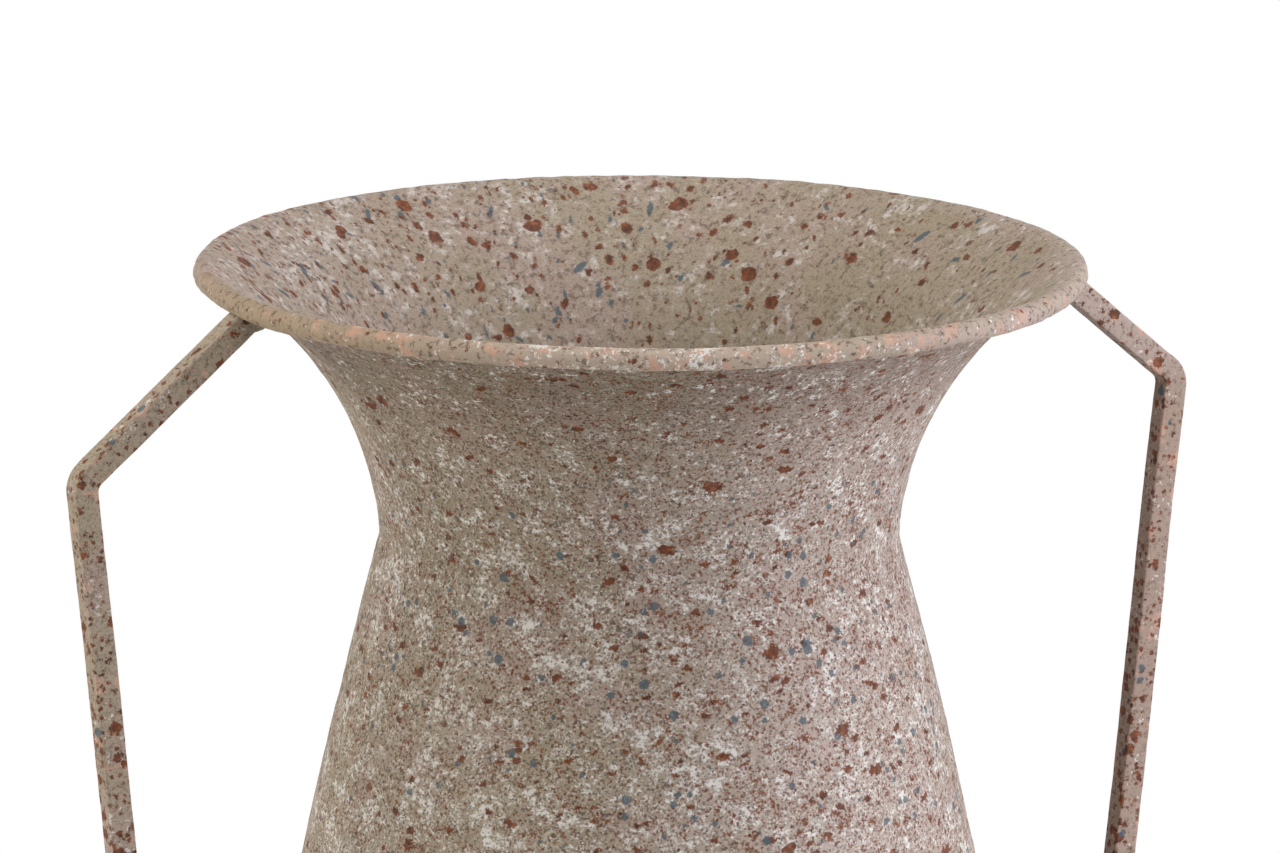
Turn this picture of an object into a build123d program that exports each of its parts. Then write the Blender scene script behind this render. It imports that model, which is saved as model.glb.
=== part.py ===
from build123d import *

import os
from math import atan2, cos, degrees, hypot, radians, sin, sqrt

# Urn vase in sheet iron: a flared mouth with a wired lip, a creased neck, a full belly and two welded
# square-bar handles. Millimetres, +Z up, origin at the centre of the base, handles along X.

# Overall sizes
height = 450.0
rim_diameter = 228.0
neck_diameter = 132.8
belly_diameter = 223.4
base_diameter = 156.0

# Heights of the neck and the belly
flare_height = 69.0  # neck crease to the middle of the lip
belly_height = 118.0

# Slopes where the sheets meet, in degrees from vertical
flare_neck_slope = 4.0
body_neck_slope = 15.35
bowl_belly_slope = 0.0

# Sheet, wire and welds
sheet = 0.8
base_sheet = 1.2
wire_diameter = 3.5
wire_clearance = 0.25
curl_turn = 305.0  # degrees of lip curled round the wire
seam_gap = 0.6
seam_crown = 0.25

# Handles
bar = 6.0
bar_edge = 0.5
bend_inside_radius = 3.0
handle_overhang = 41.1  # rim edge to the bar's middle at the upper bend
bend_drop = 41.0  # middle of the lip down to the upper bend
slant_drop = 4.0  # middle of the lip down to the bar's middle, straight below it
knee_gap = 18.5  # belly edge to the bar's middle at the lower bend
knee_rise = 50.0  # belly to the lower bend
foot_rise = 18.0  # belly to where the bar lands
root_gap = 0.1  # left between bar and wall, where the weld bridges it
weld_reach = 7.5  # how far a handle weld runs out along the bar
weld_sink = 1.0  # how far inside the bar it is centred
weld_wrap = 0.6  # how far it reaches past each side of the bar

# Worked-out sizes
curl_inside = wire_diameter / 2 + wire_clearance
curl_radius = curl_inside + sheet
lip_radius = rim_diameter / 2 - curl_radius
lip_height = height - curl_radius
neck_height = lip_height - flare_height
shell_foot = base_sheet + seam_gap


class Meridian:
    """An arc of the wall's outer face, by radius and height; a positive arc radius bulges outward."""

    def __init__(self, centre_r, centre_z, radius):
        self.centre_r = centre_r
        self.centre_z = centre_z
        self.radius = radius

    @classmethod
    def leaving(cls, start, slope, end):
        """The arc from start to end whose outward normal at start is tilted up by slope degrees."""
        normal_r = cos(radians(slope))
        normal_z = sin(radians(slope))
        step_r = start[0] - end[0]
        step_z = start[1] - end[1]
        radius = (step_r**2 + step_z**2) / (2 * (step_r * normal_r + step_z * normal_z))
        return cls(start[0] - radius * normal_r, start[1] - radius * normal_z, radius)

    def at(self, z, inside=0.0):
        """Radius at a height, on the face that lies a depth inside the outer one."""
        reach = self.radius - inside
        side = 1 if reach > 0 else -1
        return self.centre_r + side * sqrt(reach**2 - (z - self.centre_z) ** 2)

    def edge(self, low, high, inside=0.0):
        """The stretch of that face between two heights."""
        points = [(self.at(z, inside), 0, z) for z in (low, (low + high) / 2, high)]
        return ThreePointArc(*points)

    def crossing(self, point, heading):
        """Where a straight line first meets the outer face."""
        step_r = point[0] - self.centre_r
        step_z = point[1] - self.centre_z
        along = step_r * heading[0] + step_z * heading[1]
        depth = sqrt(along**2 - (step_r**2 + step_z**2 - self.radius**2))
        travel = -along + (depth if self.radius < 0 else -depth)
        return point[0] + travel * heading[0], point[1] + travel * heading[1]


def turned(*edges):
    """The solid turned about the vase's axis from a closed outline, its start edge clear of the handles."""
    return Rot(0, 0, 90) * revolve(make_face(edges), Axis.Z)


def flare_arc():
    """The flare's outer face: leaves the neck at its slope and runs into the curl of the lip."""
    normal_r = cos(radians(flare_neck_slope))
    normal_z = -sin(radians(flare_neck_slope))
    step_r = neck_diameter / 2 - lip_radius
    step_z = neck_height - lip_height
    inward = -(step_r * normal_r + step_z * normal_z)
    radius = (step_r**2 + step_z**2 - curl_inside**2) / (2 * (inward - curl_inside))
    return Meridian(neck_diameter / 2 + radius * normal_r, neck_height + radius * normal_z, -radius)


neck = (neck_diameter / 2, neck_height)
belly = (belly_diameter / 2, belly_height)
flare = flare_arc()
body = Meridian.leaving(neck, body_neck_slope, belly)
bowl = Meridian.leaving(belly, bowl_belly_slope, (base_diameter / 2, shell_foot))

# The flare runs into the curl where the line from its centre through the wire meets both
curl_start = degrees(atan2(lip_height - flare.centre_z, lip_radius - flare.centre_r))
curl_end = curl_start - curl_turn


def on_lip(radius, angle):
    """A point round the wire's centre line, by its distance and its angle up from straight out."""
    return (lip_radius + radius * cos(radians(angle)), 0, lip_height + radius * sin(radians(angle)))


def lip_arc(radius):
    """The curled lip's face at a distance from the wire's centre line."""
    middle = (curl_start + curl_end) / 2
    return ThreePointArc(on_lip(radius, curl_start), on_lip(radius, middle), on_lip(radius, curl_end))


# Sheets

def mouth_flare():
    """Spun flare that ends in the lip curled outward and down round the wire."""
    low = neck_height + seam_gap / 2
    outer = flare.edge(low, on_lip(curl_inside, curl_start)[2])
    inner = flare.edge(low, on_lip(curl_radius, curl_start)[2], sheet)
    return turned(
        outer,
        lip_arc(curl_inside),
        Line(on_lip(curl_inside, curl_end), on_lip(curl_radius, curl_end)),
        lip_arc(curl_radius),
        inner,
        Line(inner @ 0, outer @ 0),
    )


def wall(arc, low, high):
    """A band of sheet along an arc, cut level at both ends."""
    outer = arc.edge(low, high)
    inner = arc.edge(low, high, sheet)
    return turned(outer, Line(outer @ 1, inner @ 1), inner, Line(inner @ 0, outer @ 0))


def base_disc():
    """Flat bottom, as wide as the bowl's foot."""
    disc = Cylinder(base_diameter / 2, base_sheet, align=(Align.CENTER, Align.CENTER, Align.MIN))
    return fillet(disc.edges().group_by(Axis.Z)[0], base_sheet / 4)


# Hoop in the lip, and the welded seams

def hoop(radius):
    """Ring round the lip, on the wire's centre line."""
    return Pos(0, 0, lip_height) * Rot(0, 0, 90) * Torus(lip_radius, radius)


def seam(below, above, middle_height):
    """Weld that fills the gap between two sheets, flush outside and crowned inside, by its wall radii."""
    low = middle_height - seam_gap / 2
    high = middle_height + seam_gap / 2
    crown = (below + above) / 2 - sheet - seam_crown
    return turned(
        Line((below, 0, low), (above, 0, high)),
        Line((above, 0, high), (above - sheet, 0, high)),
        ThreePointArc((above - sheet, 0, high), (crown, 0, middle_height), (below - sheet, 0, low)),
        Line((below - sheet, 0, low), (below, 0, low)),
    )


# Handles

def heading(start, end):
    """Unit step from one point of the handle's plane to another."""
    step_r = end[0] - start[0]
    step_z = end[1] - start[1]
    length = hypot(step_r, step_z)
    return step_r / length, step_z / length


def further(point, step, distance):
    """A point moved along a step."""
    return point[0] + step[0] * distance, point[1] + step[1] * distance


root = (lip_radius, lip_height - slant_drop)
bend = (rim_diameter / 2 + handle_overhang, lip_height - bend_drop)
knee = (belly_diameter / 2 + knee_gap, belly_height + knee_rise)
foot = (body.at(belly_height + foot_rise), belly_height + foot_rise)
slant_step = heading(bend, root)
leg_step = heading(knee, foot)

# The bar is drawn past the wall at both ends and then cut to it
bar_excess = 2 * bar


def raw_handle():
    """Square bar with eased edges, bent twice, before its ends are cut to the wall."""
    top = further(root, slant_step, bar_excess)
    low = further(foot, leg_step, bar_excess)
    points = [(r, 0, z) for r, z in (top, bend, knee, low)]
    path = FilletPolyline(*points, radius=bend_inside_radius + bar / 2)
    start = Plane(origin=path @ 0, x_dir=(0, 1, 0), z_dir=path % 0)
    return sweep(start * RectangleRounded(bar, bar, bar_edge), path=path)


def enclosed(arc, low, high, gap):
    """What an arc's face encloses between two heights, grown by a gap, and the hollow straight above it."""
    face = arc.edge(low, high, -gap)
    shoulder = (face @ 1).X
    roof = lip_height + bar_excess
    corners = [face @ 1, (shoulder, 0, roof), (0, 0, roof), (0, 0, low), face @ 0]
    return turned(face, *(Line(*pair) for pair in zip(corners, corners[1:])))


def walls(gap):
    """The forms that the bar and its welds are cut back from, grown by a gap."""
    flare_top = on_lip(curl_inside, curl_start)[2]
    return [
        enclosed(body, belly_height, neck_height, gap),
        enclosed(flare, neck_height, flare_top, gap),
        hoop(curl_radius + gap),
    ]


def handle_weld(wall_arc, landing, step):
    """Weld under the bar where it meets the wall: rounded, and wrapped a little past the bar's sides."""
    under = (-step[1], step[0])
    corner = wall_arc.crossing(further(landing, under, bar / 2), step)
    middle = further(corner, under, -weld_sink)
    half = EllipticalCenterArc((0, 0), weld_reach, bar / 2 + weld_wrap, start_angle=0, arc_size=180)
    blank = revolve(make_face([half, Line(half @ 1, half @ 0)]), Axis.X)
    tilt = -degrees(atan2(step[1], step[0]))
    return Pos(middle[0], 0, middle[1]) * Rot(0, tilt, 0) * blank - walls(0) - blank_bar


blank_bar = raw_handle()
handle = blank_bar - walls(root_gap)
top_weld = handle_weld(flare, root, slant_step)
foot_weld = handle_weld(body, foot, leg_step)


def export(shape, node):
    export_step(shape, f"parts/{node}.step")


os.makedirs("parts", exist_ok=True)

export(mouth_flare(), "mouth_flare")
export(hoop(wire_diameter / 2), "rim_wire")
export(wall(body, belly_height + seam_gap / 2, neck_height - seam_gap / 2), "upper_body")
export(wall(bowl, shell_foot, belly_height - seam_gap / 2), "lower_body")
export(base_disc(), "base_disc")
export(
    seam(body.at(neck_height - seam_gap / 2), flare.at(neck_height + seam_gap / 2), neck_height),
    "neck_seam",
)
export(
    seam(bowl.at(belly_height - seam_gap / 2), body.at(belly_height + seam_gap / 2), belly_height),
    "belly_seam",
)
export(seam(base_diameter / 2, base_diameter / 2, base_sheet + seam_gap / 2), "base_seam")

# The same bar and welds turned half round the axis make the second handle
for side, turn in (("right", 0), ("left", 180)):
    placed = Rot(0, 0, turn)
    export(placed * handle, f"handle_{side}")
    export(placed * top_weld, f"handle_{side}_top_weld")
    export(placed * foot_weld, f"handle_{side}_foot_weld")
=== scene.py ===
from math import atan2, cos, hypot, pi, radians, sin, sqrt, tan

import bpy
from mathutils import Matrix, Vector, noise


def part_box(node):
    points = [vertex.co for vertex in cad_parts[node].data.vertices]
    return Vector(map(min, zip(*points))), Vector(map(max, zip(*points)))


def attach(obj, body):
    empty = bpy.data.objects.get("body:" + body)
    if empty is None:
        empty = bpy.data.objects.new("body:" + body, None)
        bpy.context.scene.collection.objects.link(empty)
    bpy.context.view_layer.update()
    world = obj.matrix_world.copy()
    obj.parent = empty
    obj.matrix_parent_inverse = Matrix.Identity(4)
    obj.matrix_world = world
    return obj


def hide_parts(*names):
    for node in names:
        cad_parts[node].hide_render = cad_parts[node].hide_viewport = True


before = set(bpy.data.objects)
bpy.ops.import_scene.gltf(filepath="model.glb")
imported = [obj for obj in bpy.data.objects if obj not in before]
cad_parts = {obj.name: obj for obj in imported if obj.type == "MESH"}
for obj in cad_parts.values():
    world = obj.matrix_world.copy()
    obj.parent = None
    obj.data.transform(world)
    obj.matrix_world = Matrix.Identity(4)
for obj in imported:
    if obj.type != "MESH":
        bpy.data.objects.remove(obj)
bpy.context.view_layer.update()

# Urn vase in speckled paint. Metres, in the frame's axes: +Z up from the base, handles along X.
MM = 0.001

# Sizes read from the frame
wire_low, wire_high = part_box("rim_wire")
flare_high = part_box("mouth_flare")[1]
neck_low, neck_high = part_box("neck_seam")
belly_low, belly_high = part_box("belly_seam")
disc_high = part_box("base_disc")[1]
foot_seam_low, foot_seam_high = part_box("base_seam")
lip_height = (wire_low.z + wire_high.z) / 2
lip_radius = wire_high.x - (wire_high.z - wire_low.z) / 2
curl_radius = flare_high.z - lip_height
rim_radius = flare_high.x
neck_height = (neck_low.z + neck_high.z) / 2
belly_height = (belly_low.z + belly_high.z) / 2
belly_radius = belly_high.x
base_radius = disc_high.x
seam_gap = neck_high.z - neck_low.z

# Sheet and slopes of the walls
sheet = 0.8 * MM
flare_neck_slope = radians(4.0)
body_neck_slope = radians(15.35)
curl_inside = curl_radius - sheet
curl_turn = radians(305)
neck_radius = neck_high.x - seam_gap / 2 * tan(body_neck_slope)

# Softness of the painted corners
crease_ease = 0.35 * MM
belly_ease = 0.25 * MM
ease_reach = 12 * MM
seam_crown = 0.25 * MM

# Handles: the bar and the points it runs through, by distance from the axis and height
bar = 6 * MM
bar_edge = 0.5 * MM
bend_radius = 6 * MM
root = (lip_radius, lip_height - 4 * MM)
bend = (rim_radius + 41.1 * MM, lip_height - 41 * MM)
knee = (belly_radius + 18.5 * MM, belly_height + 50 * MM)
foot_rise = 18 * MM

# Welds and paint at the handles' ends
weld_reach = 7.5 * MM  # how far a weld runs out along the bar
weld_root = 1.5 * MM  # how far it runs into the wall
weld_sink = 1.0 * MM  # how far its middle lies inside the bar
weld_wrap = 0.6 * MM  # how far it stands out past the bar's sides
paint_build = 0.15 * MM  # paint built up on the bars
paint_sink = 0.2 * MM  # how far bar ends and welds reach into the wall's paint

# Lumps of the metal, the paint and the welds: their sizes and how far they stand out
dent_size = 38 * MM
dent_depth = 0.3 * MM
lump_size = 4 * MM
lump_height = 0.2 * MM
bar_lumps = 0.08 * MM  # weaker on the bars than on the walls
bead_size = 2.4 * MM
bead_height = 0.2 * MM
noise.seed_set(5)  # the same lumps in every run

# Fineness of the meshes
turn_steps = 480
flare_steps = 44
curl_steps = 36
upper_steps = 110
lower_steps = 60
seam_steps = 6
bar_step = 1.6 * MM
bend_steps = 10
edge_steps = 4
weld_rows = 16
weld_columns = 28
sharp_angle = radians(50)


# Outline of the walls

class Meridian:
    """An arc of the wall's outer face, by radius and height; a positive arc radius bulges outward."""

    def __init__(self, centre_r, centre_z, radius):
        self.centre_r = centre_r
        self.centre_z = centre_z
        self.radius = radius

    def at(self, z, inside=0.0):
        """Radius at a height, on the face that lies a depth inside the outer one."""
        reach = self.radius - inside
        side = 1 if reach > 0 else -1
        return self.centre_r + side * sqrt(reach**2 - (z - self.centre_z) ** 2)


def arc_leaving(start, slope, end):
    """The arc from start to end whose outward normal at start is tilted up by a slope."""
    normal_r = cos(slope)
    normal_z = sin(slope)
    step_r = start[0] - end[0]
    step_z = start[1] - end[1]
    radius = (step_r**2 + step_z**2) / (2 * (step_r * normal_r + step_z * normal_z))
    return Meridian(start[0] - radius * normal_r, start[1] - radius * normal_z, radius)


def arc_of_flare():
    """The flare's outer face: leaves the neck at its slope and runs into the curl of the lip."""
    normal_r = cos(flare_neck_slope)
    normal_z = -sin(flare_neck_slope)
    step_r = neck_radius - lip_radius
    step_z = neck_height - lip_height
    inward = -(step_r * normal_r + step_z * normal_z)
    radius = (step_r**2 + step_z**2 - curl_inside**2) / (2 * (inward - curl_inside))
    return Meridian(neck_radius + radius * normal_r, neck_height + radius * normal_z, -radius)


flare = arc_of_flare()
body = arc_leaving((neck_radius, neck_height), body_neck_slope, (belly_radius, belly_height))
bowl = arc_leaving((belly_radius, belly_height), 0.0, (base_radius, foot_seam_high.z))
curl_start = atan2(lip_height - flare.centre_z, lip_radius - flare.centre_r)
foot = (body.at(belly_height + foot_rise), belly_height + foot_rise)


def round_the_lip(radius, angle):
    """A point round the middle of the lip, by its distance and its angle up from straight out."""
    return lip_radius + radius * cos(angle), lip_height + radius * sin(angle)


flare_top = round_the_lip(curl_inside, curl_start)[1]


def eased(first, second, ease, side):
    """The larger (side 1) or smaller (side -1) of two radii, with the corner between them rounded."""
    return (first + second + side * hypot(first - second, ease)) / 2


def wall_radius(z, inside=0.0):
    """Radius of the whole wall at a height, on the face that lies a depth inside the outer one."""
    if z > neck_height + ease_reach:
        return flare.at(z, inside)
    if z > neck_height - ease_reach:
        return eased(flare.at(z, inside), body.at(z, inside), crease_ease, 1)
    if z > belly_height + ease_reach:
        return body.at(z, inside)
    if z > belly_height - ease_reach:
        return eased(body.at(z, inside), bowl.at(z, inside), belly_ease, -1)
    return bowl.at(z, inside)


# Meshes

def lumpy(point, paint_lumps=lump_height):
    """A point moved by the slow unevenness of the metal and the finer lumps of the paint."""
    slow = noise.noise_vector(point / dent_size) * dent_depth
    fine = noise.noise_vector(point / lump_size) * paint_lumps
    return point + slow + fine


def piece_from(name, vertices, faces, material_of_face, materials):
    """A smooth-shaded object whose faces have their materials, with sharp edges left sharp."""
    mesh = bpy.data.meshes.new(name)
    mesh.from_pydata(vertices, [], faces)
    for material in materials:
        mesh.materials.append(material)
    mesh.polygons.foreach_set("material_index", material_of_face)
    mesh.shade_smooth()
    mesh.set_sharp_from_angle(angle=sharp_angle)
    piece = bpy.data.objects.new(name, mesh)
    bpy.context.scene.collection.objects.link(piece)
    return piece


def belongs(piece, slot, *nodes):
    """Ties a piece to the frame: it stands for its nodes, which are hidden. The slot is not used."""
    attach(piece, "root")
    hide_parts(*nodes)


def note(piece, name, values):
    """Keeps a value for each vertex, for the paint to read."""
    piece.data.attributes.new(name, "FLOAT", "POINT").data.foreach_set("value", values)


def finer_at_ends(low, high, count):
    """Heights between two ends, closer together near both."""
    return [low + (high - low) * (1 - cos(pi * k / count)) / 2 for k in range(count + 1)]


def lathe(name, sections, materials, share_of_lip=None):
    """A ring of sheet turned about the axis. Each section is (points, share of texture, material).

    Sections follow one another round the sheet's cut outline and share their end points. The texture map
    has two strips, one for each half turn, so that the wall gets a fine and even share of it.
    """
    outline = []
    progress = [0.0]
    material_of_ring = []
    for points, share, material in sections:
        lengths = [hypot(b[0] - a[0], b[1] - a[1]) for a, b in zip(points, points[1:])]
        start = progress[-1]
        run = 0.0
        for point, length in zip(points, lengths):
            run += length
            outline.append(point)
            progress.append(start + share * run / sum(lengths))
            material_of_ring.append(material)
    rings = len(outline)
    vertices = []
    for r, z in outline:
        for k in range(turn_steps):
            angle = 2 * pi * k / turn_steps
            vertices.append(lumpy(Vector((r * cos(angle), r * sin(angle), z))))
    faces = []
    face_materials = []
    corners = []
    half_turn = turn_steps // 2
    margin = 0.004
    for i in range(rings):
        above = (i + 1) % rings
        strip_heights = [margin + (0.5 - 2 * margin) * progress[row] / progress[-1] for row in (i, i + 1)]
        for k in range(turn_steps):
            after = (k + 1) % turn_steps
            faces.append((
                i * turn_steps + k, i * turn_steps + after,
                above * turn_steps + after, above * turn_steps + k,
            ))
            face_materials.append(material_of_ring[i])
            strip = k // half_turn
            left, right = (margin + (1 - 2 * margin) * (k % half_turn + step) / half_turn for step in (0, 1))
            low, high = (strip / 2 + height for height in strip_heights)
            corners.extend((left, low, right, low, right, high, left, high))
    piece = piece_from(name, vertices, faces, face_materials, materials)
    piece.data.uv_layers.new(name="OFBake").uv.foreach_set("vector", corners)
    if share_of_lip:
        note(piece, "lip", [share_of_lip(r, z) for r, z in outline for _ in range(turn_steps)])
    return piece


# Nodes of the materials

def colour(red, green, blue):
    """A colour in 8-bit steps as a shader takes it."""
    def linear(step):
        share = step / 255
        return share / 12.92 if share <= 0.04045 else ((share + 0.055) / 1.055) ** 2.4
    return (linear(red), linear(green), linear(blue), 1.0)


usual_noise = 0.075  # how far a noise usually strays from its middle
bump_strength = 0.5  # share of the bumps that shows
paint_gloss = 0.2  # half-matte paint shines little


class Paint:
    """One material and short calls that add its nodes. Places are in millimetres, masks run from 0 to 1.

    Calls with a shift give the same pattern from another place, so that patterns don't fall together.
    """

    def __init__(self, name):
        self.material = bpy.data.materials.new(name)
        self.material.use_nodes = True
        self.tree = self.material.node_tree
        self.shader = self.tree.nodes["Principled BSDF"]
        coordinates = self.node("ShaderNodeTexCoord")
        self.place = self.vector("SCALE", coordinates.outputs["Object"], scale=1 / MM)
        self.base = None

    def node(self, kind, **settings):
        made = self.tree.nodes.new(kind)
        for key, value in settings.items():
            setattr(made, key, value)
        return made

    def feed(self, socket, value):
        """Links an output to a socket, or sets the socket to a plain value."""
        if isinstance(value, bpy.types.NodeSocket):
            self.tree.links.new(value, socket)
        else:
            socket.default_value = value

    def math(self, operation, *values):
        made = self.node("ShaderNodeMath", operation=operation)
        for socket, value in zip(made.inputs, values):
            self.feed(socket, value)
        return made.outputs[0]

    def vector(self, operation, *values, scale=None):
        made = self.node("ShaderNodeVectorMath", operation=operation)
        for socket, value in zip(made.inputs, values):
            self.feed(socket, value)
        if scale is not None:
            self.feed(made.inputs["Scale"], scale)
        return made.outputs["Value" if operation == "DOT_PRODUCT" else "Vector"]

    def both(self, first, second):
        """Mask of what two masks share."""
        return self.math("MULTIPLY", first, second)

    def either(self, *masks):
        """Mask of what any of some masks covers."""
        joined = masks[0]
        for mask in masks[1:]:
            joined = self.math("MAXIMUM", joined, mask)
        return joined

    def more(self, value, amount, extra):
        """A value with an amount of an extra one added."""
        return self.math("MULTIPLY_ADD", extra, amount, value)

    def rise(self, value, low, high):
        """0 below low, 1 above high and a smooth rise between; low may be the larger."""
        made = self.node("ShaderNodeMapRange", interpolation_type="SMOOTHSTEP")
        ends = (low, high, 0.0, 1.0) if low < high else (high, low, 1.0, 0.0)
        for socket, given in zip(made.inputs, (value, *ends)):
            self.feed(socket, given)
        return made.outputs[0]

    def zone(self, axis, start, end):
        """Mask that rises along an axis of the frame from one place to another."""
        split = self.node("ShaderNodeSeparateXYZ")
        self.feed(split.inputs[0], self.place)
        return self.rise(split.outputs[axis], start, end)

    def mix(self, base, top, mask):
        made = self.node("ShaderNodeMix", data_type="RGBA")
        for index, value in ((0, mask), (6, base), (7, top)):
            self.feed(made.inputs[index], value)
        return made.outputs[2]

    def cover(self, top, mask, strength):
        """Lays a colour over what is there."""
        self.base = self.mix(self.base, top, self.math("MULTIPLY", mask, strength))

    def noise(self, size, detail=2.0, rough=0.5, twist=0.0, shift=0.0, wide=1.0, output="Fac"):
        """Cloudy noise whose coarsest lumps have a size and are wider than high by a factor."""
        made = self.node("ShaderNodeTexNoise")
        offset = (shift, shift * 0.7, shift * 1.3)
        inputs = {
            "Vector": self.vector("MULTIPLY_ADD", self.place, (1.0, 1.0, wide), offset),
            "Scale": 1 / size,
            "Detail": detail,
            "Roughness": rough,
            "Distortion": twist,
        }
        for key, value in inputs.items():
            self.feed(made.inputs[key], value)
        return made.outputs[output]

    def swing(self, size, **how):
        """Cloudy noise about zero."""
        return self.math("SUBTRACT", self.noise(size, **how), 0.5)

    def fog(self, size, low, high, **how):
        """Mask of patches."""
        return self.rise(self.noise(size, **how), low, high)

    def flakes(self, size, patch, gather, shift, wide=1.0):
        """Rough noise that a threshold cuts into ragged flakes, more of them in patches."""
        rough = self.noise(size, detail=4, rough=0.75, shift=shift, wide=wide)
        patches = self.swing(patch, detail=3, rough=0.6, shift=shift + 40, wide=wide)
        return self.more(rough, gather, patches)

    def crumbs(self, size, shift):
        """Random values from 0 to 1, one for each small cell of a fine grain."""
        cells = self.node("ShaderNodeTexVoronoi")
        self.feed(cells.inputs["Vector"], self.vector("ADD", self.place, (shift, -shift, 2 * shift)))
        self.feed(cells.inputs["Scale"], 1 / size)
        rolls = self.node("ShaderNodeSeparateColor")
        self.feed(rolls.inputs[0], cells.outputs["Color"])
        return rolls.outputs["Red"]

    def some_crumbs(self, size, share, edge, shift):
        """Mask of a share of the crumbs, with an edge that lets nearly chosen ones through faintly."""
        return self.rise(self.math("SUBTRACT", self.crumbs(size, shift), share), edge, -edge)

    def strands(self, size, patch, width, shift, wide=1.0):
        """Mask of thin branching strands that come and go in patches."""
        field = self.swing(size, detail=3, rough=0.6, twist=0.4, shift=shift, wide=wide)
        patches = self.fog(patch, 0.49, 0.60, detail=4, rough=0.65, shift=shift + 40, wide=wide)
        return self.both(self.rise(self.math("ABSOLUTE", field), width, width / 4), patches)

    def spots(self, cell, chance, small, large, ragged, long=1.0, soft=0.12, shift=0.0, lean=None):
        """Mask of scattered blobs: at most one in each cell, with a radius from small to large.

        Long blobs lean every way, or mostly along a given direction.
        """
        stray = self.noise(1.1 * (small + large) / 2, detail=3, rough=0.65, shift=shift + 3, output="Color")
        stray = self.vector("SUBTRACT", stray, (0.5,) * 3)
        place = self.vector("ADD", self.place, self.vector("SCALE", stray, scale=ragged / usual_noise))
        place = self.vector("ADD", place, (shift, -shift, 2 * shift))
        place = self.vector("SCALE", place, scale=1 / cell)
        cells = self.node("ShaderNodeTexVoronoi")
        self.feed(cells.inputs["Vector"], place)
        self.feed(cells.inputs["Scale"], 1.0)
        rolls = self.node("ShaderNodeSeparateColor")
        self.feed(rolls.inputs[0], cells.outputs["Color"])
        distance = cells.outputs["Distance"]
        if long > 1:
            distance = self.stretched(place, cells, long, lean)
        grown = self.math("POWER", rolls.outputs["Green"], 2.0)
        radius = self.math("MULTIPLY_ADD", grown, large - small, small)
        beyond = self.math("SUBTRACT", self.math("MULTIPLY", distance, cell), radius)
        there = self.math("LESS_THAN", rolls.outputs["Red"], chance)
        return self.both(self.rise(beyond, soft, -soft), there)

    def stretched(self, place, cells, long, lean):
        """Distance to the middle of a cell, shortened along the cell's own direction."""
        offset = self.vector("SUBTRACT", place, cells.outputs["Position"])
        dice = self.node("ShaderNodeTexWhiteNoise")
        self.feed(dice.inputs["Vector"], cells.outputs["Color"])
        direction = self.vector("SUBTRACT", dice.outputs["Color"], (0.5,) * 3)
        if lean:
            direction = self.vector("ADD", direction, lean)
        direction = self.vector("NORMALIZE", direction)
        along = self.vector("DOT_PRODUCT", offset, direction)
        kept = self.math("MULTIPLY", self.math("MULTIPLY", along, along), 1 - 1 / long**2)
        square = self.math("SUBTRACT", self.vector("DOT_PRODUCT", offset, offset), kept)
        return self.math("SQRT", self.math("MAXIMUM", square, 0.0))

    def up_the_flare(self):
        """The direction out and up along the flare's slope."""
        flat = self.vector("MULTIPLY", self.place, (1.0, 1.0, 0.0))
        return self.vector("ADD", self.vector("NORMALIZE", flat), (0.0, 0.0, 1.0))

    def round_the_axis(self):
        """The level direction round the vase."""
        return self.vector("NORMALIZE", self.vector("CROSS_PRODUCT", (0.0, 0.0, 1.0), self.place))

    def attribute(self, name):
        return self.node("ShaderNodeAttribute", attribute_name=name).outputs["Fac"]

    def finish(self, height, bump, roughness):
        """Links the colour, the roughness and a bump of some millimetres."""
        made = self.node("ShaderNodeBump")
        for key, value in (("Height", height), ("Strength", bump_strength), ("Distance", bump * MM)):
            self.feed(made.inputs[key], value)
        self.feed(self.shader.inputs["Normal"], made.outputs[0])
        self.feed(self.shader.inputs["Base Color"], self.base)
        self.feed(self.shader.inputs["Roughness"], roughness)
        self.shader.inputs["Specular IOR Level"].default_value = paint_gloss
        return self.material


# Colours of the paint
taupe = colour(178, 163, 144)
taupe_olive = colour(174, 160, 139)
taupe_rose = colour(182, 163, 149)
# Paler rose, laid on as painted light
painted_light_rose = colour(197, 180, 173)
lip_tone = colour(195, 177, 161)
# Painted shade of the lip's left end
lip_painted_shade = colour(172, 148, 121)
# Rosier tone, laid on as painted light where the right lamp falls
handle_rose = colour(173, 151, 139)
grain_dark = colour(86, 72, 60)
rust_deep = colour(78, 35, 15)
rust = colour(116, 57, 26)
rust_light = colour(146, 88, 54)
slate = colour(80, 97, 108)
chalk = colour(238, 235, 230)
lilac = colour(212, 202, 198)
peach = colour(214, 170, 148)
steel_bright = colour(140, 140, 142)
steel_dull = colour(104, 100, 96)

# Places of the paint, in millimetres
lip_level = lip_height / MM
neck_level = neck_height / MM
rim_reach = rim_radius / MM
lip_blend = 6 * MM  # how far the lip's paint fades down the inside


def ground(paint):
    """The taupe ground of all the paint: slow patches of olive and rose, and a faint grain."""
    paint.base = paint.mix(taupe, taupe_olive, paint.fog(34, 0.42, 0.62, detail=3, shift=11))
    paint.cover(taupe_rose, paint.fog(27, 0.48, 0.66, detail=3, shift=47), 1.0)
    paint.cover(grain_dark, paint.fog(0.55, 0.42, 0.78, shift=23), 0.45)


def rusty(paint):
    """Rust that is deeper and lighter in small patches."""
    shades = paint.noise(1.8, detail=3, rough=0.6, shift=60)
    dark = paint.mix(rust, rust_deep, paint.rise(shades, 0.48, 0.60))
    return paint.mix(dark, rust_light, paint.rise(shades, 0.44, 0.34))


# Paint of the outer wall

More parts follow.
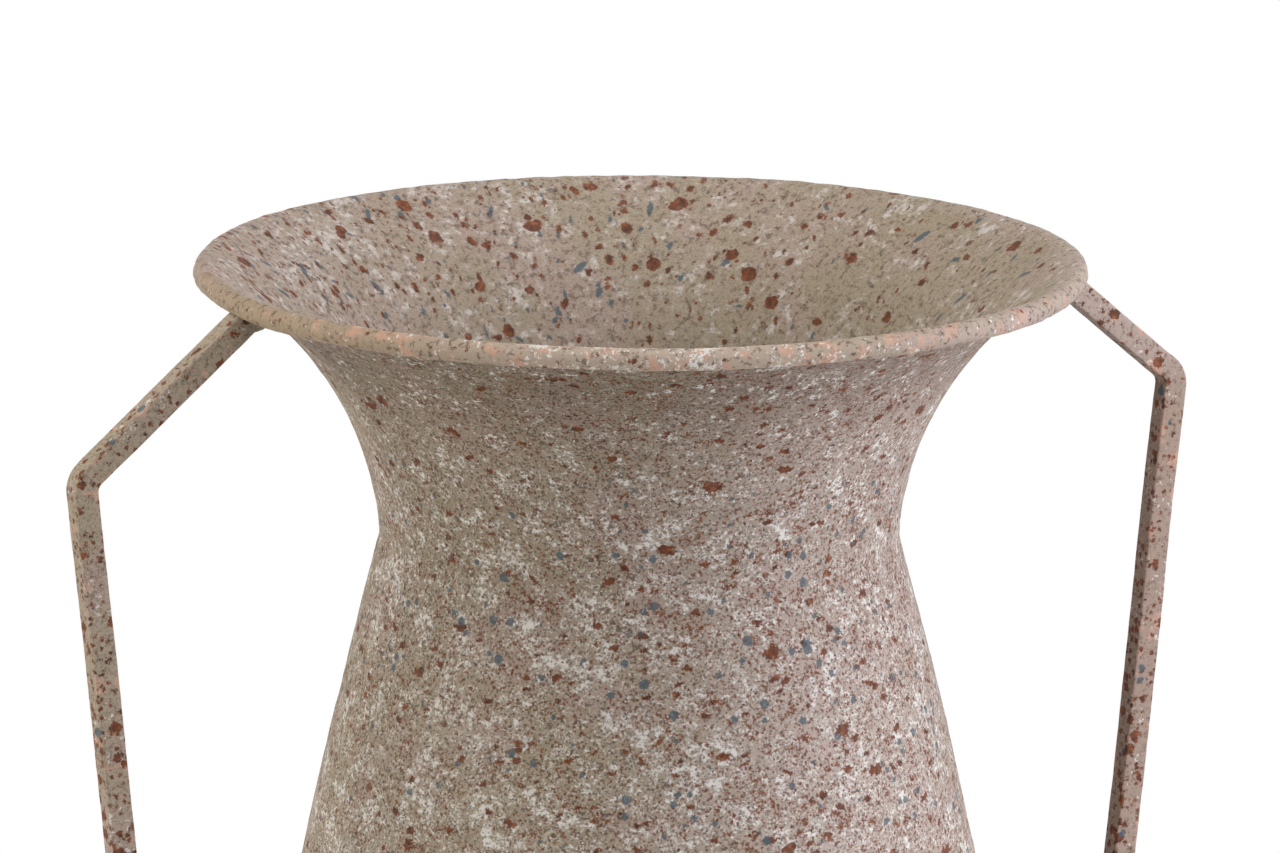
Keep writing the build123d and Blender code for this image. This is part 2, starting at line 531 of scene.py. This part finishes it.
def outside_ground(paint):
    """Painted light and shade: a paler, pinker right side where the right lamp falls, painted shade at the
    far right, darker bands of painted shade round the neck and under the lip, and a fine dark grain in
    patches.
    """
    # Painted light: a paler, pinker ground on the right, where the right lamp falls
    lit_side = paint.zone("X", -0.44 * rim_reach, 0.13 * rim_reach)
    # Painted shade at the far right, where the paler ground is left out
    shaded_far_side = paint.zone("X", 0.44 * rim_reach, 0.75 * rim_reach)
    paint.cover(painted_light_rose, lit_side, paint.more(0.6, -0.6, shaded_far_side))
    paint.cover(grain_dark, shaded_far_side, 0.05)
    # Painted shade over the flare, from round the neck up
    paint.cover(grain_dark, paint.zone("Z", neck_level - 28, neck_level + 7), 0.12)
    # Painted shade close under the lip
    paint.cover(grain_dark, paint.zone("Z", lip_level - 35, lip_level - 11), 0.28)
    patches = paint.swing(5, detail=3, rough=0.6, shift=90)
    grain = paint.more(paint.crumbs(0.62, shift=7), 0.7, patches)
    paint.cover(grain_dark, paint.rise(grain, 0.76, 0.92), paint.more(0.75, -0.25, lit_side))


def outside_flakes(paint, side, calm):
    """Brown flakes, then white ones with a haze round them, threads between them and powder in clumps."""
    brown = paint.flakes(size=1.4, patch=8, gather=0.35, shift=31, wide=1.3)
    brown = paint.more(paint.more(brown, 0.022, side), -0.03, calm)
    paint.cover(rust_light, paint.rise(brown, 0.563, 0.62), 0.5)
    paint.cover(rust, paint.rise(brown, 0.593, 0.635), 0.8)
    faint = paint.more(1.0, -0.5, calm)
    white = paint.flakes(size=1.8, patch=9, gather=0.58, shift=150, wide=1.2)
    white = paint.more(paint.more(white, 0.006, side), -0.022, calm)
    paint.cover(chalk, paint.both(paint.rise(white, 0.49, 0.64), faint), 0.28)
    paint.cover(chalk, paint.rise(white, 0.587, 0.634), 0.85)
    threads = paint.strands(size=3.6, patch=7, width=0.02, shift=260, wide=1.5)
    paint.cover(chalk, paint.both(threads, faint), 0.66)
    clumps = paint.fog(6, 0.50, 0.61, detail=4, rough=0.65, shift=190, wide=1.3)
    powdery = paint.both(paint.more(0.015, 0.34, clumps), paint.more(1.0, -0.85, calm))
    paint.cover(chalk, paint.some_crumbs(0.5, powdery, edge=0.03, shift=300), 0.55)
    paint.cover(grain_dark, paint.rise(paint.crumbs(0.5, shift=500), 0.90, 0.95), 0.6)


def outside_strokes(paint, calm, level):
    """White strokes round the flare; returns the mask of the rust ones between them."""
    often = paint.math("MULTIPLY", calm, 0.7)
    along = paint.vector("SCALE", level, scale=2.0)
    lines = {"chance": often, "long": 6.0, "lean": along}
    paint.cover(chalk, paint.spots(6.0, small=0.2, large=0.5, ragged=0.3, shift=610, **lines), 0.8)
    return paint.spots(5.0, small=0.16, large=0.4, ragged=0.12, shift=510, **lines)


def outside_rust(paint, side, calm):
    """Rust from dust to blots, more of it to the right; returns its mask."""
    level = paint.round_the_axis()
    strokes = outside_strokes(paint, calm, level)
    gathered = paint.more(paint.fog(9, 0.42, 0.60, detail=3, shift=31), 1.0, side)
    often = paint.more(0.12, 0.32, gathered)
    dust = paint.some_crumbs(0.6, paint.math("MULTIPLY", often, 0.12), edge=0.015, shift=800)
    paint.cover(rust, dust, 0.75)
    blots = {"long": 1.9, "lean": level}
    large_often = paint.more(0.35, 0.25, side)
    small = paint.spots(2.0, often, small=0.22, large=0.5, ragged=0.1, shift=5)
    medium = paint.spots(3.2, often, small=0.4, large=1.0, ragged=0.2, shift=440, **blots)
    large = paint.spots(9.0, large_often, small=0.8, large=1.8, ragged=0.3, shift=19, **blots)
    reds = paint.either(small, strokes, medium, large)
    paint.cover(rusty(paint), reds, 0.92)
    return reds


def outside_blues(paint, side):
    """Round slate dots, none of them close under the lip."""
    often = paint.more(0.35, 0.45, side)
    dots = paint.spots(4.2, often, small=0.45, large=1.3, ragged=0.13, shift=90)
    paint.cover(slate, paint.both(dots, paint.zone("Z", lip_level - 22, lip_level - 52)), 0.82)


def outside_paint():
    """Granite-like speckle of the outer wall, denser lower down and with more white and rust to the right."""
    paint = Paint("outside_paint")
    side = paint.zone("X", -0.88 * rim_reach, 0.22 * rim_reach)
    calm = paint.zone("Z", neck_level - 3, lip_level - 17)
    ground(paint)
    outside_ground(paint)
    outside_flakes(paint, side, calm)
    reds = outside_rust(paint, side, calm)
    outside_blues(paint, side)
    height = paint.more(paint.noise(1.6, detail=4, rough=0.6, shift=200), 0.25, reds)
    return paint.finish(height, 0.4, paint.more(0.55, 0.2, paint.noise(3, shift=210)))


# Paint of the inside and the lip

def inside_whites(paint, left, back_edge):
    """Painted light on the left of the inside, which faces the right lamp: a rosier ground and a lilac tint
    there; a lilac haze, dark grain and white flakes.
    """
    white = paint.flakes(size=3.2, patch=14, gather=0.5, shift=150)
    white = paint.more(paint.more(white, 0.025, left), 0.022, back_edge)
    # Painted light: the left of the inside, which faces the right lamp, is tinted rosier and lilac
    paint.cover(handle_rose, left, 0.4)
    paint.cover(lilac, left, 0.12)
    paint.cover(lilac, paint.rise(white, 0.50, 0.67), 0.45)
    grain = paint.more(paint.noise(1.8, detail=4, rough=0.7), 0.012, left)
    paint.cover(grain_dark, paint.rise(grain, 0.51, 0.64), 0.6)
    paint.cover(chalk, paint.rise(white, 0.585, 0.70), 0.5)


def inside_marks(paint):
    """Rods of slate along the slope and blots of rust of all sizes, gathered at the back edge."""
    slope = paint.up_the_flare()
    any_slope = paint.vector("SCALE", slope, scale=0.5)
    left = paint.zone("X", 0.35 * rim_reach, -0.7 * rim_reach)
    right = paint.zone("X", 0.09 * rim_reach, 0.79 * rim_reach)
    at_back = paint.zone("Y", 0.18 * rim_reach, 0.61 * rim_reach)
    back_edge = paint.both(at_back, paint.zone("Z", lip_level - 19, lip_level - 5))
    inside_whites(paint, left, back_edge)
    dots = paint.spots(3.0, 0.5, small=0.2, large=0.6, ragged=0.08, soft=0.2, shift=77)
    paint.cover(slate, dots, 0.6)
    rods_often = paint.more(0.95, -0.7, right)
    rod = {"long": 3.2, "soft": 0.2, "lean": any_slope}
    paint.cover(slate, paint.spots(5.6, rods_often, small=0.5, large=1.0, ragged=0.1, shift=90, **rod), 0.88)
    often = paint.more(paint.more(0.55, -0.3, right), 0.4, back_edge)
    streaks_often = paint.more(0.1, 0.85, left)
    large_often = paint.more(0.7, 0.3, back_edge)
    streak = {"long": 2.4, "lean": slope}
    blot = {"long": 1.9, "soft": 0.22, "lean": any_slope}
    streaks = paint.spots(2.6, streaks_often, small=0.25, large=0.65, ragged=0.12, shift=700, **streak)
    small = paint.spots(2.4, often, small=0.2, large=0.55, ragged=0.1, soft=0.18, shift=5)
    medium = paint.spots(3.8, often, small=0.4, large=1.1, ragged=0.15, shift=440, **blot)
    large = paint.spots(8.6, large_often, small=1.2, large=2.7, ragged=0.2, soft=0.26, shift=19)
    paint.cover(rusty(paint), paint.either(streaks, small, medium, large), 0.92)


def lip_marks(paint):
    """The smooth lip, with painted shade on its left end, a lighter front that is partly its own paler paint
    and partly painted light from above, and a pinker right end of painted light; small peach smears in front,
    and white flecks along its lower edge.
    """
    front = paint.zone("Y", 0.35 * rim_reach, -0.61 * rim_reach)
    right = paint.zone("X", -0.18 * rim_reach, 0.53 * rim_reach)
    past_left = paint.zone("X", -rim_reach, -0.53 * rim_reach)
    before_right = paint.zone("X", 0.26 * rim_reach, -0.26 * rim_reach)
    middle_front = paint.both(paint.both(past_left, before_right), front)
    # Painted shade on the lip's left end
    paint.cover(lip_painted_shade, paint.zone("X", -0.61 * rim_reach, -0.88 * rim_reach), 0.55)
    # Painted light: the lip's front is lighter, partly its own paler paint, and its right end pinker where
    # the right lamp falls
    paint.cover(lip_tone, middle_front, 0.85)
    paint.cover(painted_light_rose, right, 0.45)
    paint.cover(grain_dark, paint.fog(1.6, 0.535, 0.61, detail=4, rough=0.72, shift=7), 0.68)
    smears = paint.more(paint.noise(5, detail=3, rough=0.6, shift=71), 0.4, paint.swing(60))
    smears = paint.both(paint.rise(smears, 0.53, 0.66), front)
    paint.cover(peach, smears, paint.more(0.8, -0.35, right))
    lower = paint.zone("Z", lip_level + 1.5, lip_level - 1.5)
    flecks = paint.more(paint.flakes(size=1.4, patch=7, gather=0.6, shift=180), 0.08, middle_front)
    flecks = paint.more(flecks, 0.03, paint.both(lower, middle_front))
    paint.cover(chalk, paint.rise(flecks, 0.645, 0.685), 0.92)
    specks = paint.spots(2.6, 0.75, small=0.2, large=0.65, ragged=0.15, long=1.8, shift=130)
    paint.cover(rusty(paint), specks, 0.9)


def mouth_paint():
    """Sparser and larger marks of the inside, and the lip, whose plain paint ends towards the back."""
    paint = Paint("mouth_paint")
    ground(paint)
    inside_marks(paint)
    inside = paint.base
    ground(paint)
    lip_marks(paint)
    border = paint.swing(2.5, detail=3, rough=0.6, shift=300)
    # The lip's paint, painted light and shade included, over the inside's paint
    on_lip = paint.rise(paint.more(paint.attribute("lip"), 1.6, border), 0.2, 0.8)
    at_back = paint.zone("Y", 0.13 * rim_reach, 0.53 * rim_reach)
    on_lip = paint.both(on_lip, paint.more(1.0, -0.9, at_back))
    paint.base = paint.mix(inside, paint.base, on_lip)
    height = paint.noise(1.8, detail=4, rough=0.6, shift=200)
    return paint.finish(height, 0.35, paint.more(0.52, 0.2, paint.noise(3, shift=210)))


# Paint of the handles, the base and the wire

def handle_paint():
    """The same paint on the bars, with few specks: clustered rust, some blues, and peach smears a little more
    often on the eased edges; painted light makes the right handle rosier and its slant paler.
    """
    paint = Paint("handle_paint")
    ground(paint)
    # Painted light: the right handle, on the right lamp's side, is rosier than the left one
    paint.cover(handle_rose, paint.zone("X", -1.32 * rim_reach, 0.88 * rim_reach), 0.85)
    # Painted highlight: the right handle's slant is paler where the top lamp lights it
    lit_slant = paint.zone("Z", lip_level - 45, lip_level - 33)
    right = paint.zone("X", 0.79 * rim_reach, 0.88 * rim_reach)
    paint.cover(painted_light_rose, paint.both(lit_slant, right), 0.42)
    paint.cover(grain_dark, paint.fog(1.2, 0.53, 0.62, detail=4, rough=0.72), 0.5)
    smears = paint.more(paint.noise(6, detail=4, shift=71), 0.05, paint.attribute("edge"))
    paint.cover(peach, paint.rise(smears, 0.61, 0.69), 0.6)
    flecks = paint.flakes(size=1.9, patch=9, gather=0.5, shift=150)
    paint.cover(chalk, paint.rise(flecks, 0.63, 0.69), 0.7)
    gathered = paint.fog(8, 0.40, 0.58, detail=3, shift=31)
    upright = paint.zone("Z", lip_level - 22, lip_level - 52)
    often = paint.more(paint.more(0.3, 0.35, upright), 0.4, gathered)
    large_often = paint.more(0.6, 0.4, upright)
    small = paint.spots(1.7, often, small=0.2, large=0.5, ragged=0.08, shift=5)
    medium = paint.spots(2.4, often, small=0.45, large=1.15, ragged=0.16, long=1.3, soft=0.16, shift=440)
    large = paint.spots(4.4, large_often, small=0.8, large=1.7, ragged=0.22, soft=0.16, shift=19)
    reds = paint.either(small, medium, large)
    paint.cover(rusty(paint), reds, 0.92)
    dots = paint.spots(6.5, 0.6, small=0.4, large=1.3, ragged=0.15, long=1.6, shift=90)
    paint.cover(slate, dots, 0.85)
    height = paint.more(paint.noise(1.5, detail=4, rough=0.6, shift=200), 0.2, reds)
    return paint.finish(height, 0.4, paint.more(0.52, 0.2, paint.noise(3, shift=210)))


def base_paint():
    """Thin paint under the base, scuffed where it stands."""
    paint = Paint("base_paint")
    ground(paint)
    paint.cover(grain_dark, paint.fog(1.1, 0.52, 0.66, detail=3, rough=0.65), 0.6)
    paint.cover(rust_light, paint.fog(6, 0.55, 0.72, detail=5, rough=0.7, shift=31), 0.6)
    height = paint.noise(1.6, detail=4, rough=0.6, shift=200)
    return paint.finish(height, 0.35, paint.more(0.55, 0.2, paint.noise(5, detail=3, shift=210)))


def wire_steel():
    """Drawn steel wire inside the lip."""
    paint = Paint("wire_steel")
    paint.base = paint.mix(steel_bright, steel_dull, paint.fog(3, 0.4, 0.65, detail=4))
    paint.shader.inputs["Metallic"].default_value = 1.0
    height = paint.noise(0.6, detail=3, rough=0.6)
    return paint.finish(height, 0.1, paint.more(0.3, 0.2, height))


# The walls' two finishes and their numbers
wall_finish = (outside_paint(), mouth_paint())
OUTSIDE = 0
INSIDE = 1
handle_finish = handle_paint()


# Walls

def smooth(value, low, high):
    """0 below low, 1 above high and a smooth rise between."""
    share = min(max((value - low) / (high - low), 0.0), 1.0)
    return share * share * (3 - 2 * share)


def lip_share(r, z):
    """How much a point takes the lip's paint: all of it outside, less and less down the inside."""
    if hypot(r - lip_radius, z - lip_height) < curl_radius - sheet / 2:
        return 0.0
    on_flare = z < flare_top and r < wall_radius(z) - sheet / 2
    if on_flare or z > lip_height:
        return smooth(r, lip_radius - lip_blend, lip_radius)
    return 1.0


def make_flare():
    """Flare with its lip curled outward and down."""
    low = neck_height + seam_gap / 2
    outer = [(wall_radius(z), z) for z in finer_at_ends(low, flare_top, flare_steps)]
    turns = [curl_start - curl_turn * k / curl_steps for k in range(curl_steps + 1)]
    hidden = [round_the_lip(curl_inside, angle) for angle in turns]
    shown = [round_the_lip(curl_radius, angle) for angle in reversed(turns)]
    inner = [(wall_radius(z, sheet), z) for z in finer_at_ends(shown[-1][1], low, flare_steps)]
    sections = [
        (outer, 0.34, OUTSIDE),
        (hidden, 0.02, OUTSIDE),
        ([hidden[-1], shown[0]], 0.01, INSIDE),
        (shown, 0.20, INSIDE),
        (inner, 0.42, INSIDE),
        ([inner[-1], outer[0]], 0.01, OUTSIDE),
    ]
    piece = lathe("flared_mouth", sections, wall_finish, lip_share)
    belongs(piece, "wall_paint", "mouth_flare")


def make_wall(name, low, high, count, node):
    """A band of the wall between two heights."""
    outer = [(wall_radius(z), z) for z in finer_at_ends(low, high, count)]
    inner = [(wall_radius(z, sheet), z) for z in finer_at_ends(high, low, count // 2)]
    sections = [
        (outer, 0.82, OUTSIDE),
        ([outer[-1], inner[0]], 0.01, OUTSIDE),
        (inner, 0.16, INSIDE),
        ([inner[-1], outer[0]], 0.01, OUTSIDE),
    ]
    belongs(lathe(name, sections, wall_finish), "wall_paint", node)


def make_seam(name, low, high, node):
    """A weld ring, flush with the wall outside and crowned inside."""
    def crowned(z):
        return wall_radius(z, sheet) - seam_crown * sin(pi * (z - low) / (high - low))

    outer = [(wall_radius(z), z) for z in finer_at_ends(low, high, seam_steps - 2)]
    inner = [(crowned(z), z) for z in finer_at_ends(high, low, seam_steps)]
    sections = [
        (outer, 0.45, OUTSIDE),
        ([outer[-1], inner[0]], 0.05, OUTSIDE),
        (inner, 0.45, INSIDE),
        ([inner[-1], outer[0]], 0.05, OUTSIDE),
    ]
    belongs(lathe(name, sections, wall_finish), "wall_paint", node)


make_flare()
make_wall("upper_wall", belly_height + seam_gap / 2, neck_height - seam_gap / 2, upper_steps, "upper_body")
make_wall("lower_wall", foot_seam_high.z, belly_height - seam_gap / 2, lower_steps, "lower_body")
make_seam("neck_weld_ring", neck_low.z, neck_high.z, "neck_seam")
make_seam("belly_weld_ring", belly_low.z, belly_high.z, "belly_seam")
make_seam("base_weld_ring", foot_seam_low.z, foot_seam_high.z, "base_seam")


# Handles

def heading(start, end):
    """Unit step from one point of the handle's plane to another."""
    step_r = end[0] - start[0]
    step_z = end[1] - start[1]
    length = hypot(step_r, step_z)
    return step_r / length, step_z / length


def further(point, step, distance):
    """A point of the handle's plane moved along a step."""
    return point[0] + step[0] * distance, point[1] + step[1] * distance


def in_space(pair):
    """A point or step of the handle's plane as one of space."""
    return Vector((pair[0], 0, pair[1]))


def inside_wall(point):
    """Whether a point lies within the wall's outer face or the curl of the lip."""
    r = hypot(point.x, point.y)
    if hypot(r - lip_radius, point.z - lip_height) < curl_radius:
        return True
    return point.z < flare_top and r < wall_radius(point.z)


def reach_of_wall(start, step):
    """Distance from a start along a step to the wall, found by halving."""
    longest = 2 * belly_radius
    near = 0.0
    far = 0.0
    while far < longest and not inside_wall(start + step * far):
        near = far
        far += bar / 10
    for _ in range(20):
        middle = (near + far) / 2
        if inside_wall(start + step * middle):
            far = middle
        else:
            near = middle
    return far


def bar_outline():
    """The bar's section: points (across, out, share of edge) round a square with eased edges."""
    half = bar / 2 + paint_build
    flat = half - bar_edge
    points = []
    for corner in range(4):
        turn = corner * pi / 2
        middle = turn + pi / 4
        for k in range(edge_steps + 1):
            angle = turn + k * pi / 2 / edge_steps
            points.append((
                flat * sqrt(2) * cos(middle) + bar_edge * cos(angle),
                flat * sqrt(2) * sin(middle) + bar_edge * sin(angle),
                1.0,
            ))
        side = turn + pi / 2
        for along in (flat / 2, 0.0, -flat / 2):
            points.append((
                half * cos(side) + along * sin(side),
                half * sin(side) - along * cos(side),
                0.0,
            ))
    return points


section = bar_outline()


def ring_at(point, step):
    """The bar's section set up square to a step at a point of the handle's plane."""
    out = (-step[1], step[0])
    ring = []
    for across, outward, _ in section:
        r, z = further(point, out, outward)
        ring.append(Vector((r, across, z)))
    return ring


def rings_between(first, last):
    """Rings spaced along a straight run, the first one left out."""
    longest = max((b - a).length for a, b in zip(first, last))
    count = max(2, round(longest / bar_step))
    return [[a.lerp(b, k / count) for a, b in zip(first, last)] for k in range(1, count + 1)]


def rings_of_bend(before, corner, after):
    """Rings round a bend at a corner of the bar."""
    into = heading(before, corner)
    out_of = heading(corner, after)
    turn = atan2(into[0] * out_of[1] - into[1] * out_of[0], into[0] * out_of[0] + into[1] * out_of[1])
    start = further(corner, into, -bend_radius * tan(abs(turn) / 2))
    side = 1 if turn > 0 else -1
    centre = further(start, (-into[1] * side, into[0] * side), bend_radius)
    rings = []
    for k in range(bend_steps + 1):
        angle = turn * k / bend_steps
        step = (into[0] * cos(angle) - into[1] * sin(angle), into[0] * sin(angle) + into[1] * cos(angle))
        rings.append(ring_at(further(centre, (step[1] * side, -step[0] * side), bend_radius), step))
    return rings


def coped_end(ring, step):
    """A ring carried on along a step until each of its points sinks into the wall's paint."""
    towards = in_space(step)
    return [point + towards * (reach_of_wall(point, towards) + paint_sink) for point in ring]


def make_handle(side, turn):
    """A bent bar, cut to the wall at both ends."""
    upper = rings_of_bend(root, bend, knee)
    lower = rings_of_bend(bend, knee, foot)
    top = coped_end(upper[0], heading(bend, root))
    low = coped_end(lower[-1], heading(knee, foot))
    rings = [top]
    rings += rings_between(top, upper[0])
    rings += upper[1:]
    rings += rings_between(upper[-1], lower[0])
    rings += lower[1:]
    rings += rings_between(lower[-1], low)
    place = Matrix.Rotation(turn, 3, "Z")
    count = len(section)
    last_ring = (len(rings) - 1) * count
    vertices = [lumpy(place @ point, bar_lumps) for ring in rings for point in ring]
    faces = [tuple(range(count))]
    for i in range(0, last_ring, count):
        for k in range(count):
            after = (k + 1) % count
            faces.append((i + after, i + k, i + count + k, i + count + after))
    faces.append(tuple(reversed(range(last_ring, last_ring + count))))
    piece = piece_from(f"bar_handle_{side}", vertices, faces, [0] * len(faces), (handle_finish,))
    note(piece, "edge", [edge for _ in rings for _, _, edge in section])
    belongs(piece, "handle_paint", f"handle_{side}")


def make_weld(name, landing, step, turn, node):
    """A rounded, lumpy fillet in the corner under the bar, kept out of the inside of the vase."""
    under = (-step[1], step[0])
    towards = in_space(step)
    below = in_space(under)
    sideways = Vector((0, 1, 0))
    begin = in_space(further(further(landing, step, -3 * bar), under, bar / 2))
    corner = begin + towards * reach_of_wall(begin, towards)
    middle = corner - below * weld_sink
    girth = bar / 2 + weld_wrap
    place = Matrix.Rotation(turn, 3, "Z")

    def skin(latitude, longitude):
        """A point of the fillet's skin, moved out to the wall where it would go through."""
        shape = towards * ((weld_root if latitude > 0 else weld_reach) * sin(latitude))
        shape += sideways * (girth * cos(latitude) * cos(longitude))
        shape += below * (girth * cos(latitude) * sin(longitude))
        point = lumpy(place @ (middle + shape))
        point += noise.noise_vector(point / bead_size) * bead_height
        depth = wall_radius(point.z) - paint_sink
        r = hypot(point.x, point.y)
        if r < depth:
            point.x *= depth / r
            point.y *= depth / r
        return point

    vertices = []
    for i in range(1, weld_rows):
        latitude = pi * i / weld_rows - pi / 2
        vertices += [skin(latitude, 2 * pi * k / weld_columns) for k in range(weld_columns)]
    first_pole = len(vertices)
    last_pole = first_pole + 1
    last_ring = first_pole - weld_columns
    vertices += [skin(-pi / 2, 0), skin(pi / 2, 0)]
    faces = []
    for k in range(weld_columns):
        after = (k + 1) % weld_columns
        faces.append((first_pole, k, after))
        for i in range(0, last_ring, weld_columns):
            faces.append((i + after, i + k, i + weld_columns + k, i + weld_columns + after))
        faces.append((last_ring + after, last_ring + k, last_pole))
    piece = piece_from(name, vertices, faces, [0] * len(faces), (handle_finish,))
    belongs(piece, "handle_paint", node)


for side, turn in (("right", 0.0), ("left", pi)):
    make_handle(side, turn)
    make_weld(f"top_weld_{side}", root, heading(bend, root), turn, f"handle_{side}_top_weld")
    make_weld(f"foot_weld_{side}", foot, heading(knee, foot), turn, f"handle_{side}_foot_weld")

# Pieces that keep their frame shape
for node, finish in (("base_disc", base_paint()), ("rim_wire", wire_steel())):
    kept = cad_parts[node]
    for slot in kept.material_slots:
        slot.material = finish


# Floor and background
floor_radius = 2.4
floor_steps = 96
floor_drop = 0.3 * MM  # keeps the floor clear of the base's underside
floor_fade = (350.0, 900.0)  # millimetres from the axis between which the floor turns white
floor_pale = colour(232, 231, 229)
floor_shade = colour(226, 225, 223)


def make_floor():
    """Pale floor that turns to plain white away from the object."""
    turns = [2 * pi * k / floor_steps for k in range(floor_steps)]
    rim = [(floor_radius * cos(turn), floor_radius * sin(turn), -floor_drop) for turn in turns]
    mesh = bpy.data.meshes.new("floor")
    mesh.from_pydata(rim, [], [tuple(range(floor_steps))])
    floor = bpy.data.objects.new("floor", mesh)
    bpy.context.scene.collection.objects.link(floor)
    paint = Paint("floor_paint")
    tree = paint.tree
    tree.nodes.remove(paint.shader)
    matte = paint.node("ShaderNodeBsdfDiffuse")
    paint.feed(matte.inputs["Color"], paint.mix(floor_pale, floor_shade, paint.fog(180, 0.4, 0.6)))
    white = paint.node("ShaderNodeEmission")
    distance = paint.node("ShaderNodeVectorMath", operation="LENGTH")
    paint.feed(distance.inputs[0], paint.place)
    far = paint.rise(distance.outputs["Value"], *floor_fade)
    blend = paint.node("ShaderNodeMixShader")
    paint.feed(blend.inputs[0], paint.both(far, seen_directly(paint)))
    paint.feed(blend.inputs[1], matte.outputs[0])
    paint.feed(blend.inputs[2], white.outputs[0])
    paint.feed(tree.nodes["Material Output"].inputs["Surface"], blend.outputs[0])
    mesh.materials.append(paint.material)


def seen_directly(paint):
    """1 for rays that the camera, a gloss or glass sends, 0 for light that is scattered."""
    path = paint.node("ShaderNodeLightPath")
    rays = ("Is Camera Ray", "Is Glossy Ray", "Is Transmission Ray")
    return paint.either(*(path.outputs[ray] for ray in rays))


def make_world(strength):
    """White to look at, with a plain soft light."""
    world = bpy.data.worlds.new("studio")
    bpy.context.scene.world = world
    world.use_nodes = True
    tree = world.node_tree
    background = tree.nodes["Background"]
    path = tree.nodes.new("ShaderNodeLightPath")
    seen = path.outputs["Is Camera Ray"]
    for other in ("Is Glossy Ray", "Is Transmission Ray"):
        either = tree.nodes.new("ShaderNodeMath")
        either.operation = "MAXIMUM"
        tree.links.new(seen, either.inputs[0])
        tree.links.new(path.outputs[other], either.inputs[1])
        seen = either.outputs[0]
    level = tree.nodes.new("ShaderNodeMapRange")
    level.inputs["To Min"].default_value = strength
    tree.links.new(seen, level.inputs["Value"])
    tree.links.new(level.outputs[0], background.inputs["Strength"])
    background.inputs["Color"].default_value = (1.0, 1.0, 1.0, 1.0)


# Camera, to the left of the front and above the rim
view_turn = radians(26.1)
view_pitch = radians(12.33)
view_roll = 0.004
view_distance = 2.6867
view_height = 0.4061
image_width_px = 1280
focal_px = 10500
sensor = 36.0

camera_right = Vector((cos(view_turn), -sin(view_turn), 0))
camera_back = Vector((-sin(view_turn) * cos(view_pitch), -cos(view_turn) * cos(view_pitch), sin(view_pitch)))
camera_up = camera_back.cross(camera_right)
towards_camera = Vector((-sin(view_turn), -cos(view_turn), 0))


def make_camera():
    """A long lens that looks down at the upper half of the vase."""
    data = bpy.data.cameras.new("camera")
    data.sensor_width = sensor
    data.lens = sensor * focal_px / image_width_px
    camera = bpy.data.objects.new("camera", data)
    right = camera_right * cos(view_roll) + camera_up * sin(view_roll)
    up = camera_up * cos(view_roll) - camera_right * sin(view_roll)
    camera.rotation_mode = "QUATERNION"
    camera.rotation_quaternion = Matrix((right, up, camera_back)).transposed().to_quaternion()
    camera.location = Vector((0, 0, view_height)) + camera_back * view_distance
    bpy.context.scene.collection.objects.link(camera)
    bpy.context.scene.camera = camera


# Lamps
lamp_aim = Vector((0, 0, 0.33))
cool_white = (0.93, 0.935, 1.0)
warm_white = (1.0, 0.97, 0.9)
soft_white = (1.0, 0.975, 0.95)
cream_white = (1.0, 0.965, 0.93)


def make_lamp(name, turn, distance, rise, size, watts, tint):
    """A large soft panel facing the vase.

    Its place is given by its turn to the right of the camera's direction, its distance from the axis and its
    rise above the point it aims at.
    """
    angle = radians(turn)
    level = (camera_right * sin(angle) + towards_camera * cos(angle)) * distance
    place = lamp_aim + level + Vector((0, 0, rise))
    lamp = bpy.data.lights.new(name, "AREA")
    lamp.shape = "RECTANGLE"
    lamp.size, lamp.size_y = size
    lamp.energy = watts
    lamp.color = tint
    holder = bpy.data.objects.new(name, lamp)
    holder.location = place
    holder.rotation_mode = "QUATERNION"
    holder.rotation_quaternion = (lamp_aim - place).to_track_quat("-Z", "Y")
    holder.visible_camera = False
    bpy.context.scene.collection.objects.link(holder)


make_floor()
make_world(strength=0.03)
make_lamp("right_panel", turn=78, distance=1.5, rise=0.25, size=(1.5, 1.2), watts=20.8, tint=cool_white)
make_lamp("left_panel", turn=-78, distance=1.5, rise=0.3, size=(0.8, 1.2), watts=13.7, tint=warm_white)
make_lamp("front_panel", turn=20, distance=1.4, rise=1.3, size=(1.0, 1.0), watts=6.7, tint=soft_white)
make_lamp("top_panel", turn=0, distance=0.15, rise=1.6, size=(1.1, 1.1), watts=12.3, tint=cream_white)
make_camera()
bpy.context.scene.view_settings.view_transform = "Standard"
